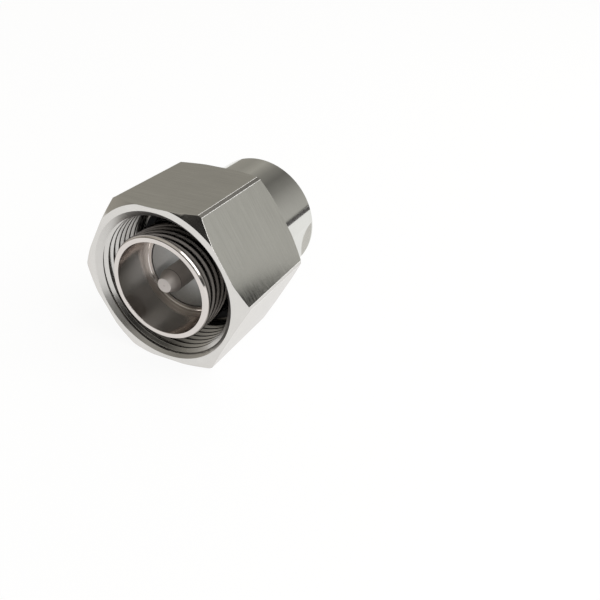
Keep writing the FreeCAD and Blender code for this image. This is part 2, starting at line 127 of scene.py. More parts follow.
# Stage: metres, with the sensor in millimetres as a lens is
FLOOR_LEVEL = -0.0001
CLIP_START, CLIP_END = 0.005, 10.0
SENSOR_WIDTH = 36.0

# Brightness of the studio's walls from left to right, as (place, brightness)
REAR_WALL = ((0.0, 0.46), (0.20, 0.34), (0.25, 0.33), (0.335, 0.42), (0.44, 0.25),
             (0.545, 0.16), (0.65, 0.25), (0.73, 0.38), (0.80, 0.50))
FRONT_WALL = ((0.0, 0.42), (0.08, 0.34), (0.28, 0.03), (0.62, 0.02), (0.72, 0.13),
              (0.85, 0.30), (1.0, 0.36))
OVER_FRONT_WALL = 0.30

# Where one part of the studio passes into the next, as (begin, end) of a soft step
FRONT_WALL_TOP = (0.44, 0.62)
FRONT_TO_REAR = (-0.30, 0.10)
WALL_TO_CEILING = (0.55, 0.95)
LOW_GAP_SIDE = (0.0, 0.3)
LOW_GAP_TOP = (-0.04, 0.035)
FLAG_SIDE = (0.622, 0.640)
FLAG_TOP = (-0.209, -0.190)
FLAG_SLOPE = 0.52


# Sizes

def length(name, description, default):
    """A size in metres that the sidebar shows as a distance."""
    return FloatProperty(name=name, description=description, default=default,
                         min=0.0, subtype="DISTANCE", unit="LENGTH", precision=5)


def colour(name, description, default):
    """A colour that the sidebar shows as a swatch."""
    return FloatVectorProperty(name=name, description=description, default=default,
                               size=3, min=0.0, max=1.0, subtype="COLOR")


def share(name, description, default, high=1.0):
    """A number from 0 to its highest value."""
    return FloatProperty(name=name, description=description, default=default,
                         min=0.0, max=high, subtype="FACTOR")


def angle(name, description, degrees):
    """An angle that the sidebar shows in degrees."""
    return FloatProperty(name=name, description=description, default=math.radians(degrees),
                         subtype="ANGLE", unit="ROTATION")


def place(name, description, default):
    """A place in metres, along each axis."""
    return FloatVectorProperty(name=name, description=description, default=default, size=3,
                               subtype="TRANSLATION", unit="LENGTH")


class NutSizes(bpy.types.PropertyGroup):
    """Sizes of the coupling nut."""

    flat_radius: length("Flat Radius", "Axis to a flat", (NUT_HIGH.z - NUT_LOW.z) / 2)
    corner_radius: length("Corner Radius", "Axis to a turned corner",
                          (NUT_HIGH.x - NUT_LOW.x) / 2)
    face_radius: length("Face Radius", "Flat ring at each end", 0.01635)
    chamfer: length("Chamfer", "Length of the chamfer over the corners", 0.0011)
    mouth_radius: length("Mouth Radius", "Wide end of the lead-in", 0.0151)
    crest_radius: length("Crest Radius", "Axis to the crests of the thread", 0.0137)
    pitch: length("Pitch", "Pitch of the coupling thread", 0.0015)
    thread_height: length("Thread Height", "Crest to root", 0.00078)
    thread_end: length("Thread End", "Mouth to the end of the thread", 0.012)
    runout: length("Runout", "Stretch over which the thread fades", 0.0016)
    plain: length("Plain", "Smooth stretch before and after the thread", 0.0005)
    wide_end: length("Wide Bore End", "Mouth to the end of the wide bore", 0.0138)
    bearing_radius: length("Bearing Radius", "Bore that runs on the body", 0.0133)
    groove_radius: length("Groove Radius", "Floor of the ring's groove", 0.01425)
    groove_start: length("Groove Start", "Mouth to the ring's groove", 0.01735)
    groove_end: length("Groove End", "Mouth to the end of the groove", 0.01865)
    edge: length("Edge", "Rounding of the edges of the flats", 0.00024)


class BodySizes(bpy.types.PropertyGroup):
    """Sizes of the turned body."""

    radius: length("Radius", "Outside of the body", (BODY_HIGH.x - BODY_LOW.x) / 2)
    flat_radius: length("Flat Radius", "Axis to a wrench flat", 0.01225)
    flat_start: length("Flat Start", "Front of the contact to the wrench flats", 0.0201)
    flat_end: length("Flat End", "Front of the contact to the end of the flats", 0.037)
    seat_radius: length("Seat Radius", "Bore that holds the outer contact", 0.01043)
    seat_end: length("Seat End", "Front of the contact to the end of its seat", 0.02)
    bore_radius: length("Bore Radius", "Bore that the screw plug closes", 0.0086)
    groove_radius: length("Groove Radius", "Floor of the ring's groove", 0.01185)
    groove_start: length("Groove Start", "Front of the contact to the ring's groove", 0.01745)
    groove_end: length("Groove End", "Front of the contact to the end of the groove", 0.01955)
    edge: length("Edge", "Chamfer at the rear", 0.00025)
    flat_edge: length("Flat Edge", "Rounding round a wrench flat", 0.00005)
    flat_turn: angle("Flat Turn", "Flats turned from upright", 15)


class ContactSizes(bpy.types.PropertyGroup):
    """Sizes of the outer contact, the centre pin and the load disc."""

    sleeve_radius: length("Sleeve Radius", "Outside of the outer contact",
                          (CONTACT_HIGH.x - CONTACT_LOW.x) / 2)
    bore_radius: length("Bore Radius", "Inside of the outer contact", 0.00935)
    sleeve_edge: length("Sleeve Edge", "Lead-in of the sleeve, across its wall", 0.00034)
    sleeve_lead: length("Sleeve Lead-in", "Lead-in of the sleeve, along the axis", 0.00055)
    shoulder: length("Shoulder", "Front of the contact to the body", 0.0142)
    shank_radius: length("Shank Radius", "Part of the contact inside the body", 0.0104)
    lip_station: length("Lip", "Front of the contact to the lip", 0.0084)
    lip_radius: length("Lip Radius", "Opening of the lip", 0.00805)
    lip_thickness: length("Lip Thickness", "Lip, along the axis", 0.001)
    lip_line: length("Lip Line", "Fine groove in the face of the lip", 0.0087)
    lip_line_depth: length("Lip Line Depth", "Depth of the fine groove", 0.00013)
    chamber_radius: length("Chamber Radius", "Bore behind the lip", 0.0084)
    pin_radius: length("Pin Radius", "Centre pin", (PIN_HIGH.x - PIN_LOW.x) / 2)
    pin_tip_radius: length("Pin Tip Radius", "Flat tip of the pin", 0.00145)
    pin_nose: length("Pin Nose", "Length of the taper", 0.0022)
    stud_radius: length("Stud Radius", "Screwed end of the pin", 0.0015)
    centre_mark: length("Centre Mark", "Lathe centre in the tip, its radius", 0.00016)
    disc_face_radius: length("Disc Face Radius", "Raised face of the load disc", 0.00793)
    disc_step: length("Disc Step", "Raised face above the rim of the disc", 0.00075)
    stud_hole_radius: length("Stud Hole Radius", "Hole in the load disc", 0.00155)


class PlugSizes(bpy.types.PropertyGroup):
    """Sizes of the slotted screw plug."""

    radius: length("Radius", "Outside of the screw plug", (PLUG_HIGH.x - PLUG_LOW.x) / 2)
    groove_radius: length("Groove Radius", "Floor of the sealing groove", 0.00712)
    groove_start: length("Groove Start", "Front of the plug to its groove", 0.0014)
    groove_end: length("Groove End", "Front of the plug to the end of its groove", 0.0033)
    edge: length("Edge", "Chamfer round the rear face", 0.00025)
    slot_width: length("Slot Width", "Screwdriver slot", 0.0012)
    slot_depth: length("Slot Depth", "Screwdriver slot", 0.0016)
    slot_edge: length("Slot Edge", "Rounding along the slot", 0.00004)
    slot_turn: angle("Slot Turn", "Slot turned from level", 9)


class FinishColours(bpy.types.PropertyGroup):
    """Colours and roughness of the finishes."""

    milled: colour("Milled Nickel", "Flats of the nut", (0.70, 0.70, 0.665))
    turned: colour("Turned Nickel", "End rings, chamfers and bores", (0.68, 0.665, 0.64))
    polished: colour("Polished Nickel", "Body and screw plug", (0.71, 0.71, 0.68))
    contact: colour("Contact Plating", "Outer contact and contact ring", (0.67, 0.63, 0.60))
    pin: colour("Pin Plating", "Centre pin", (0.54, 0.505, 0.48))
    # Painted highlight: near-white colour on the nut's rounded edges, standing in for their
    # glints
    edge: colour("Edge Highlight", "Edges of the nut", (0.97, 0.96, 0.94))
    film: colour("Load Film", "Resistive film of the load disc", (0.41, 0.415, 0.41))
    steel: colour("Spring Steel", "Rings and springs inside", (0.42, 0.42, 0.43))
    rubber: colour("Seal Rubber", "Gasket and sealing ring", (0.035, 0.035, 0.037))
    floor: colour("Floor", "Paper under the part", (0.09, 0.09, 0.09))
    card: colour("Card", "Dark card beside the part", (0.13, 0.125, 0.13))
    floor_glow: share("Floor Glow", "Light that comes through the paper", 0.90, 2.0)
    milled_roughness: share("Milled Roughness", "Flats of the nut", 0.10)
    turned_roughness: share("Turned Roughness", "End rings and chamfers", 0.17)
    thread_roughness: share("Thread Roughness", "Coupling thread", 0.20)
    mouth_roughness: share("Mouth Roughness", "Lead-in cone of the nut", 0.30)
    slot_roughness: share("Slot Roughness", "Screwdriver slot", 0.38)
    polished_roughness: share("Polished Roughness", "Body and screw plug", 0.085)
    contact_roughness: share("Contact Roughness", "Outer contact", 0.13)
    pin_roughness: share("Pin Roughness", "Centre pin", 0.52)
    bore_roughness: share("Bore Roughness", "Bore of the outer contact", 0.15)
    sleeve_roughness: share("Sleeve Roughness", "Outside of the outer contact", 0.05)
    # Roughness of the painted edge highlight on the nut
    edge_highlight_roughness: share("Edge Roughness", "Painted highlight on the edges of the nut", 0.5)


class StudioSettings(bpy.types.PropertyGroup):
    """Camera, lights and what stands round the part."""

    viewpoint: place("Viewpoint", "Place of the camera", (0.0726, -0.1062, 0.08085))
    azimuth: angle("Azimuth", "Camera turned about the vertical", 26.57)
    elevation: angle("Elevation", "Camera looks down by this", 31.14)
    roll: angle("Roll", "Camera turned about its line of sight", 0.515)
    lens: FloatProperty(name="Lens", description="Focal length on a 36 mm sensor, in mm",
                        default=42.0, min=1.0, subtype="DISTANCE_CAMERA")
    soft_place: place("Soft Place", "Place of the large soft light", (0.45, 0.0, 0.48))
    soft_power: FloatProperty(name="Soft Power", description="Large soft light on the right",
                              default=3.4, min=0.0, subtype="POWER", unit="POWER")
    soft_size: length("Soft Size", "Width of the large soft light", 0.6)
    wall: share("Walls", "Brightness of the walls", 1.0, 4.0)
    gap: share("Gap", "Brightness of the dark gaps in the walls", 0.06)
    ceiling: share("Ceiling", "Brightness overhead", 0.55, 4.0)
    left_tint: colour("Left Tint", "Tint of the wall on the left", (1.0, 0.95, 0.84))
    right_tint: colour("Right Tint", "Tint of the wall on the right", (1.0, 0.99, 0.95))
    floor_size: length("Floor Size", "From the middle of the floor to its edge", 0.65)
    card_place: place("Card Place", "Middle of the dark card", (0.362, 0.465, 0.0004))
    card_turn: angle("Card Turn", "Dark card turned on the floor", -38)
    card_width: length("Card Width", "Half the width of the dark card", 0.042)
    card_length: length("Card Length", "Half the length of the dark card", 0.376)


def setting_names(settings):
    """Names of a group's own settings."""
    return [name for name in settings.bl_rna.properties.keys()
            if name not in ("rna_type", "name")]


def in_mm(settings):
    """The settings of a group, its lengths in millimetres."""
    kinds = settings.bl_rna.properties
    return SimpleNamespace(**{
        name: getattr(settings, name) / (MM if kinds[name].unit == "LENGTH" else 1)
        for name in setting_names(settings)})


# Mesh

def station_of(corner):
    """How far a corner of the frame lies behind the front of the contact."""
    return (corner.y - FRONT) / MM


def radius_of(point):
    """How far a point lies from the axis."""
    return math.hypot(point.x, point.z)


def across_axis(face):
    """Whether a face is square to the axis, as an end face is."""
    return abs(face.normal.y) > 0.99


def along_axis(face, lean=0.01):
    """Whether a face runs along the axis, leaning less than this."""
    return abs(face.normal.y) < lean


def put_outline(bm, corners, closed=False):
    """Wire of (radius, station, rounding) corners in the XY plane, rounded where it says."""
    points = [bm.verts.new((radius, station, 0)) for radius, station, _ in corners]
    ends = points[1:] + points[:1] if closed else points[1:]
    for start, end in zip(points, ends):
        bm.edges.new((start, end))
    for rounding in sorted({corner[2] for corner in corners} - {0}):
        chosen = [point for point, corner in zip(points, corners) if corner[2] == rounding]
        bmesh.ops.bevel(bm, geom=chosen, affect="VERTICES", offset=rounding, segments=3,
                        profile=0.5, material=-1)


def turn(bm, corners, closed=False):
    """Turn an outline once round the Y axis and close its seam and poles."""
    put_outline(bm, corners, closed)
    bmesh.ops.spin(bm, geom=bm.verts[:] + bm.edges[:], cent=(0, 0, 0), axis=(0, 1, 0),
                   angle=FULL_TURN, steps=STEPS, use_merge=True)
    bmesh.ops.remove_doubles(bm, verts=bm.verts, dist=SAME_POINT)
    bmesh.ops.recalc_face_normals(bm, faces=bm.faces)


def box_cutter(low, high, turned):
    """A box between two corners, turned about the Y axis, for carving."""
    bm = bmesh.new()
    bmesh.ops.create_cube(bm, size=1)
    low, high = Vector(low), Vector(high)
    bmesh.ops.scale(bm, vec=high - low, verts=bm.verts)
    bmesh.ops.translate(bm, vec=(low + high) / 2, verts=bm.verts)
    bmesh.ops.rotate(bm, cent=(0, 0, 0), matrix=Matrix.Rotation(turned, 3, "Y"),
                     verts=bm.verts)
    return bm


def carve(bm, cutters):
    """Cut the cutters out of a closed mesh."""
    whole = bpy.data.meshes.new("whole")
    bm.to_mesh(whole)
    blank = bpy.data.objects.new("blank", whole)
    bpy.context.scene.collection.objects.link(blank)
    tools = []
    for number, cutter in enumerate(cutters):
        mesh = bpy.data.meshes.new(f"cutter_{number}")
        cutter.to_mesh(mesh)
        cutter.free()
        tool = bpy.data.objects.new(f"cutter_{number}", mesh)
        bpy.context.scene.collection.objects.link(tool)
        cut = blank.modifiers.new(f"cut_{number}", "BOOLEAN")
        cut.operation = "DIFFERENCE"
        cut.solver = "EXACT"
        cut.object = tool
        tools.append(tool)
    seen = blank.evaluated_get(bpy.context.evaluated_depsgraph_get())
    carved = bpy.data.meshes.new_from_object(seen)
    bm.clear()
    bm.from_mesh(carved)
    for item in [blank, *tools]:
        mesh = item.data
        bpy.data.objects.remove(item)
        bpy.data.meshes.remove(mesh)
    bpy.data.meshes.remove(carved)


def soften(bm, faces, width):
    """Round the edges of the given faces a little; gives the rounded faces."""
    edges = dict.fromkeys(edge for face in faces for edge in face.edges
                          if edge.calc_face_angle(0) > ROUNDED_FROM)
    return bmesh.ops.bevel(bm, geom=list(edges), affect="EDGES", offset=width, segments=2,
                           profile=0.5, material=-1, clamp_overlap=True)["faces"]


def finish_piece(bm, name, node, body, materials):
    """Carry a piece to its place, shade it and let it stand for its CAD node."""
    bmesh.ops.recalc_face_normals(bm, faces=bm.faces)
    mesh = bpy.data.meshes.new(name)
    bm.to_mesh(mesh)
    bm.free()
    mesh.transform(TO_FRAME)
    mesh.shade_smooth()
    mesh.set_sharp_from_angle(angle=SHARP_FROM)
    piece = bpy.data.objects.new(name, mesh)
    bpy.context.scene.collection.objects.link(piece)
    for material in materials:
        mesh.materials.append(material)
    normals = piece.modifiers.new("weighted_normals", "WEIGHTED_NORMAL")
    normals.mode = "FACE_AREA"
    normals.keep_sharp = True
    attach(piece, body)
    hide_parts(node)


# Shader maths

class Flow:
    """A socket that takes part in Python expressions."""

    def __init__(self, graph, socket):
        self.graph = graph
        self.socket = socket

    def math(self, operation, *others):
        """This value and the others, put through a Math node."""
        return self.graph.maths(operation, self, *others)

    def __add__(self, other):
        return self.math("ADD", other)

    def __radd__(self, other):
        return self.graph.maths("ADD", other, self)

    def __sub__(self, other):
        return self.math("SUBTRACT", other)

    def __rsub__(self, other):
        return self.graph.maths("SUBTRACT", other, self)

    def __mul__(self, other):
        return self.math("MULTIPLY", other)

    def __rmul__(self, other):
        return self.graph.maths("MULTIPLY", other, self)


class Graph:
    """A node tree and the nodes that finishes and studio share."""

    def __init__(self, tree):
        self.tree = tree

    def node(self, kind, settings=None, inputs=()):
        """Add a node: its settings, then the values or links of its sockets."""
        made = self.tree.nodes.new(kind)
        for key, value in (settings or {}).items():
            if key == "stops":
                self.set_stops(made.color_ramp, value)
            else:
                setattr(made, key, value)
        pairs = inputs.items() if isinstance(inputs, dict) else enumerate(inputs)
        for key, value in pairs:
            self.feed(made.inputs[key], value)
        return [Flow(self, socket) for socket in made.outputs if socket.enabled]

    def feed(self, socket, value):
        """Link what varies to a socket, or set on it what is the same all over."""
        if isinstance(value, Flow):
            self.tree.links.new(value.socket, socket)
        else:
            socket.default_value = value

    def set_stops(self, ramp, stops):
        """Give a ramp its (place, shade) stops."""
        while len(ramp.elements) < len(stops):
            ramp.elements.new(1.0)
        for element, (position, shade) in zip(ramp.elements, stops):
            element.position = position
            element.color = (shade, shade, shade, 1.0)

    def maths(self, operation, *values):
        """A Math node."""
        return self.node("ShaderNodeMath", {"operation": operation}, values)[0]

    def split(self, vector):
        """The three parts of a vector."""
        return self.node("ShaderNodeSeparateXYZ", {}, [vector])

    def join(self, x, y, z):
        """A vector of three parts."""
        return self.node("ShaderNodeCombineXYZ", {}, [x, y, z])[0]

    def coordinates(self, kind):
        """One of the outputs of the Texture Coordinate node."""
        return self.node("ShaderNodeTexCoord")[kind]

    def noise(self, vector, scale, detail=2.0, roughness=0.5):
        """Cloudy noise between 0 and 1."""
        return self.node("ShaderNodeTexNoise", {"noise_dimensions": "3D"}, {
            "Vector": vector, "Scale": scale, "Detail": detail, "Roughness": roughness})[0]

    def ramp(self, value, *stops):
        """A shade of grey for each value, from (place, shade) stops."""
        return self.node("ShaderNodeValToRGB", {"stops": stops}, [value])[0]

    def smooth(self, value, low, high):
        """0 up to the low value and 1 from the high one, with a soft step between."""
        return self.node("ShaderNodeMapRange", {"interpolation_type": "SMOOTHSTEP"}, {
            "Value": value, "From Min": low, "From Max": high})[0]

    def mix(self, share, first, second):
        """Mix two colours."""
        return self.node("ShaderNodeMix", {"data_type": "RGBA"}, {
            "Factor": share, FIRST_COLOUR: first, SECOND_COLOUR: second})[0]


class Paint(Graph):
    """A material's node tree."""

    def __init__(self, name):
        self.material = bpy.data.materials.new(name)
        self.material.use_nodes = True
        super().__init__(self.material.node_tree)

    def finish(self, values):
        """Give the shader's sockets their values or links; gives the material."""
        shader = self.tree.nodes["Principled BSDF"]
        for name, value in values.items():
            self.feed(shader.inputs[name], value)
        return self.material

    def centred(self):
        """Object coordinates in millimetres, from the front of the contact on the axis."""
        return self.node("ShaderNodeMapping", {"vector_type": "POINT"}, {
            "Vector": self.coordinates(OBJECT),
            "Location": (0.0, -FRONT / MM, -AXIS_HEIGHT / MM),
            "Scale": (1 / MM, 1 / MM, 1 / MM),
        })[0]

    def grain(self, across_rate, along_rate, detail=2.0, roughness=0.5):
        """Noise that is stretched or squeezed along the axis."""
        across, along, up = self.split(self.centred())
        stretched = self.join(across * across_rate, along * along_rate, up * across_rate)
        return self.noise(stretched, 1.0, detail, roughness)

    def rings(self, rate, detail=2.0, roughness=0.6):
        """Noise in rings about the axis, as a turning tool leaves."""
        across, along, up = self.split(self.centred())
        radius = (across * across + up * up).math("SQRT")
        return self.noise(self.join(radius * rate, along * rate, 0.0), 1.0, detail, roughness)

    def bump(self, height, strength):
        """The surface's normal, tilted by a relief."""
        return self.node("ShaderNodeBump", {}, {
            "Strength": strength, "Distance": BUMP_DISTANCE, "Height": height})[0]


def shaded(tint, factor=1.0):
    """A colour scaled by a number, as a shader colour."""
    return tuple(channel * factor for channel in tint) + (1.0,)


def blend(share, first, second):
    """The first value where the share is 0, and the second where it is 1."""
    return first + (second - first) * share


# Finishes

def metal(paint, tint, roughness, lines, specks_and_painted_shade, relief, spread=0.10, contrast=0.08,
          sheen=PLATED_SHEEN):
    """Plated metal: fine tool lines and soft stains move its colour and roughness; dark specks
    and, on the pin, a painted shade line darken it.
    """
    cloud = paint.noise(paint.centred(), 0.22, detail=3.0, roughness=0.6)
    stains = paint.ramp(cloud, (0.30, 0.0), (0.72, 1.0))
    lined = paint.mix(lines * 0.7 + stains * 0.3, shaded(tint, 1 - contrast),
                      shaded(tint, 1 + contrast))
    return paint.finish({
        "Metallic": 1.0,
        "Specular Tint": sheen,
        "Base Color": paint.mix(specks_and_painted_shade, lined, shaded(tint, 0.4)),
        "Roughness": (roughness + (lines - 0.5) * spread + (stains - 0.5) * 0.05
                      + specks_and_painted_shade * 0.12),
        "Normal": relief,
    })


def specks(paint, scale, radius):
    """Sparse dark specks."""
    cells = paint.node("ShaderNodeTexVoronoi", {"feature": "F1"}, {
        "Vector": paint.centred(), "Scale": scale, "Randomness": 1.0})[0]
    spots = paint.ramp(cells, (0.0, 1.0), (radius, 1.0), (radius + 0.04, 0.0))
    cloud = paint.noise(paint.centred(), 1.1)
    return spots * paint.ramp(cloud, (0.62, 0.0), (0.72, 1.0))


def milled_nickel(colours, name, roughness):
    """Flats of the nut and the plug's slot: fine lines square to the axis."""
    paint = Paint(name)
    fine = paint.grain(across_rate=0.12, along_rate=6.5, roughness=0.7)
    broad = paint.grain(across_rate=0.05, along_rate=1.1)
    lines = paint.smooth(fine * 0.8 + broad * 0.2, 0.30, 0.70)
    return metal(paint, colours.milled, roughness, lines,
                 specks(paint, scale=1.6, radius=0.035), paint.bump(fine, strength=0.6),
                 contrast=0.09)


def rubbed_edge(colours):
    """Edges of the nut: a near-white, barely metallic colour that paints bright highlights
    along them.
    """
    paint = Paint("rubbed_edge")
    # Painted highlight: soft clouds make it patchy in brightness and roughness
    patchy_highlight = paint.smooth(paint.noise(paint.centred(), 0.9), 0.35, 0.65)
    return paint.finish({
        "Metallic": 0.15,
        "Base Color": paint.mix(patchy_highlight, shaded(colours.edge, 0.85), shaded(colours.edge)),
        "Roughness": colours.edge_highlight_roughness + patchy_highlight * 0.1,
    })


def turned_nickel(colours, name="turned_nickel", rate=14.0, strength=0.30, roughness=None,
                  darker=1.0):
    """Turned faces, cones and bores: fine rings about the axis."""
    paint = Paint(name)
    tint = tuple(channel * darker for channel in colours.turned)
    rings = paint.rings(rate)
    broad = paint.rings(1.3, roughness=0.5)
    return metal(paint, tint, roughness or colours.turned_roughness,
                 rings * 0.6 + broad * 0.4, specks(paint, scale=2.1, radius=0.03),
                 paint.bump(rings, strength))


def polished_nickel(colours):
    """Polished body: faint rings, almost a mirror."""
    paint = Paint("polished_nickel")
    rings = paint.rings(11.0)
    return metal(paint, colours.polished, colours.polished_roughness, rings,
                 specks(paint, scale=1.3, radius=0.02), paint.bump(rings, strength=0.10),
                 spread=0.05, sheen=POLISHED_SHEEN)


def contact_plating(colours, name="contact_plating", roughness=None, darker=1.0,
                    corner=None):
    """Outer contact: plating with fine turning rings, duller towards an inner corner."""
    paint = Paint(name)
    tint = tuple(channel * darker for channel in colours.contact)
    rings = paint.rings(9.0, detail=3.0, roughness=0.65)
    roughness = roughness or colours.contact_roughness
    if corner:
        along = paint.split(paint.centred())[1]
        begin, end = (corner - distance for distance in DULL_BEFORE_CORNER)
        roughness = paint.smooth(along, begin, end) * DULL_STRENGTH + roughness
    return metal(paint, tint, roughness, rings, specks(paint, scale=1.7, radius=0.02),
                 paint.bump(rings, strength=0.10), spread=0.07)


def pin_plating(colours, taper_end):
    """Centre pin: satin plating with a thin line of painted shade where the taper meets the
    pin.
    """
    paint = Paint("pin_plating")
    along = paint.split(paint.centred())[1]
    grain = paint.noise(paint.centred(), 3.5, detail=3.0, roughness=0.6)
    # Painted shade: a dark ring where the taper meets the pin
    line = 1.0 - paint.smooth((along - taper_end).math("ABSOLUTE"), *TAPER_SHADE_LINE)
    return metal(paint, colours.pin, colours.pin_roughness, grain,
                 line * TAPER_SHADE_STRENGTH, paint.bump(grain, strength=0.15))


def load_film(colours):
    """Resistive film on the load disc: satin grey with a faint mottle."""
    paint = Paint("load_film")
    mottle = paint.noise(paint.centred(), 2.2, detail=4.0, roughness=0.6)
    fine = paint.noise(paint.centred(), 26.0)
    return paint.finish({
        "Metallic": 0.75,
        "Base Color": paint.mix(mottle, shaded(colours.film, 0.85), shaded(colours.film, 1.2)),
        "Roughness": 0.30 + fine * 0.12,
        "Normal": paint.bump(fine, strength=0.12),
    })


def spring_steel(colours):
    """Drawn and ground steel of the rings and springs."""
    paint = Paint("spring_steel")
    grain = paint.grain(across_rate=2.0, along_rate=14.0, detail=3.0)
    return metal(paint, colours.steel, 0.33, grain, specks(paint, scale=2.4, radius=0.03),
                 paint.bump(grain, strength=0.2))


def seal_rubber(colours):
    """Matt black silicone with a fine moulded grain."""
    paint = Paint("seal_rubber")
    grain = paint.noise(paint.centred(), 7.0, detail=4.0, roughness=0.6)
    return paint.finish({
        "Metallic": 0.0,
        "Base Color": paint.mix(grain, shaded(colours.rubber, 0.8),
                                shaded(colours.rubber, 1.5)),
        "Roughness": 0.55 + grain * 0.25,
        "Normal": paint.bump(grain, strength=0.3),
    })


def floor_paper(colours):
    """Smooth pale paper, lit from below as on a light table."""
    paint = Paint("floor_paper")
    cloud = paint.noise(paint.coordinates(OBJECT), 6.0, detail=3.0)
    return paint.finish({
        "Metallic": 0.0,
        "Base Color": paint.mix(cloud, shaded(colours.floor, 0.995),
                                shaded(colours.floor, 1.005)),
        "Roughness": 0.7 + cloud * 0.1,
        "Emission Color": (1.0, 1.0, 1.0, 1.0),
        "Emission Strength": colours.floor_glow,
    })


def dark_card(colours):
    """Matt dark card beside the paper, which the polished metal mirrors."""
    paint = Paint("dark_card")
    cloud = paint.noise(paint.coordinates(OBJECT), 9.0, detail=3.0)
    return paint.finish({
        "Metallic": 0.0,
        "Specular IOR Level": 0.0,
        "Base Color": paint.mix(cloud, shaded(colours.card, 0.9), shaded(colours.card, 1.1)),
        "Roughness": 0.8 + cloud * 0.1,
    })


# Pieces

class TERMINATOR_OT_coupling_nut(bpy.types.Operator):
    """Hexagon coupling nut with its inner thread"""

    bl_idname = "terminator.coupling_nut"
    bl_label = "Coupling Nut"

    # Places of the finishes in the list of the piece's materials
    FLATS, TURNED, THREAD, EDGES, CORNERS, MOUTH = range(6)

    def execute(self, context):
        sizes = in_mm(context.scene.terminator_nut)
        colours = context.scene.terminator_finish
        mouth, rear = station_of(NUT_LOW), station_of(NUT_HIGH)
        bm = bmesh.new()
        turn(bm, [
            (sizes.mouth_radius, mouth, 0),
            (sizes.face_radius, mouth, 0),
            (sizes.corner_radius, mouth + sizes.chamfer, 0),
            (sizes.corner_radius, rear - sizes.chamfer, 0),
            (sizes.face_radius, rear, 0),
            (sizes.bearing_radius, rear, 0),
            (sizes.bearing_radius, mouth + sizes.groove_end, 0),
            (sizes.groove_radius, mouth + sizes.groove_end, 0),
            (sizes.groove_radius, mouth + sizes.groove_start, 0),
            (sizes.bearing_radius, mouth + sizes.groove_start, 0),
            (sizes.bearing_radius, mouth + sizes.wide_end, 0),
            (sizes.crest_radius, mouth + sizes.wide_end, 0),
            (sizes.crest_radius, mouth + sizes.thread_end + sizes.plain, 0),
        ])
        flats = self.cut_flats(bm, sizes.flat_radius)
        ends = [face for face in bm.faces if across_axis(face)
                and not mouth + LEVEL < face.verts[0].co.y < rear - LEVEL]
        rounded = soften(bm, flats + ends, sizes.edge)
        for face in bm.faces:
            face.material_index = self.finish_of(face, sizes)
        # Painted highlight: rounded faces along the axis get the near-white edge colour
        for face in rounded:
            level = along_axis(face, lean=0.05)
            face.material_index = self.EDGES if level else self.TURNED
        self.add_thread(bm, sizes, mouth)
        finish_piece(bm, "coupling_nut_dressed", "coupling_nut", NUT, [
            milled_nickel(colours, "milled_nickel", colours.milled_roughness),
            turned_nickel(colours),
            # Painted shade: the thread inside the nut is painted a little darker than turned
            # nickel
            turned_nickel(colours, "thread_nickel", rate=7.0, strength=0.06,
                          roughness=colours.thread_roughness, darker=0.92),
            rubbed_edge(colours),
            turned_nickel(colours, "corner_nickel", rate=4.0, strength=0.06),
            turned_nickel(colours, "mouth_nickel", rate=9.0, strength=0.08,
                          roughness=colours.mouth_roughness, darker=0.92),
        ])
        return {"FINISHED"}

    def finish_of(self, face, sizes):
        """Finish of a face outside the thread: a flat, a turned corner or any other."""
        if not along_axis(face, lean=0.1):
            return self.TURNED
        if face.calc_area() > FLAT_AREA:
            return self.FLATS
        corner = radius_of(face.calc_center_median()) > sizes.corner_radius - NEAR
        return self.CORNERS if corner else self.TURNED

    def cut_flats(self, bm, flat_radius):
        """Cut the six flats off the turned blank and close them."""
        for side in range(HEXAGON):
            angle = FULL_TURN * (side + 0.5) / HEXAGON
            outward = Vector((math.cos(angle), 0, math.sin(angle)))
            cut = bmesh.ops.bisect_plane(
                bm, geom=bm.verts[:] + bm.edges[:] + bm.faces[:], dist=ON_PLANE,
                plane_co=outward * flat_radius, plane_no=outward, clear_outer=True)
            rim = [item for item in cut["geom_cut"] if isinstance(item, bmesh.types.BMEdge)]
            bmesh.ops.contextual_create(bm, geom=rim)
        bmesh.ops.remove_doubles(bm, verts=bm.verts, dist=SAME_CORNER)
        bmesh.ops.recalc_face_normals(bm, faces=bm.faces)
        flats = [face for face in bm.faces if face.calc_area() > FLAT_AREA]
        if len(flats) != HEXAGON:
            raise RuntimeError("the nut did not get its six flats")
        return flats

    def add_thread(self, bm, sizes, mouth):
        """Join the thread to the smooth bore as one closed mesh."""
        blank = set(bm.verts)
        self.sweep_thread(bm, sizes, mouth)
        for station, side in ((mouth + sizes.plain, -1), (mouth + sizes.thread_end, 1)):
            parts = dict.fromkeys(item for face in self.thread_faces(bm, blank)
                                  for item in (*face.verts, *face.edges, face))
            bmesh.ops.bisect_plane(bm, geom=list(parts), dist=ON_PLANE,
                                   plane_co=(0, station, 0), plane_no=(0, side, 0),
                                   clear_outer=True)
        self.shape_thread_ends([vert for vert in bm.verts if vert not in blank], sizes, mouth)
        bore = self.thread_faces(bm, blank)
        for station in (mouth, mouth + sizes.thread_end):
            rims = [edge for edge in bm.edges if edge.is_boundary
                    and all(-LEVEL < vert.co.y - station < sizes.plain + LEVEL
                            for vert in edge.verts)]
            bore += bmesh.ops.bridge_loops(bm, edges=rims)["faces"]
        for face in bore:
            middle = face.calc_center_median()
            cone = sizes.mouth_radius - (middle.y - mouth)
            lead_in = cone > sizes.crest_radius and radius_of(middle) > cone - ON_CONE
            face.material_index = self.MOUTH if lead_in else self.THREAD

    def thread_faces(self, bm, blank):
        """The faces that have no point of the blank."""
        return [face for face in bm.faces if blank.isdisjoint(face.verts)]

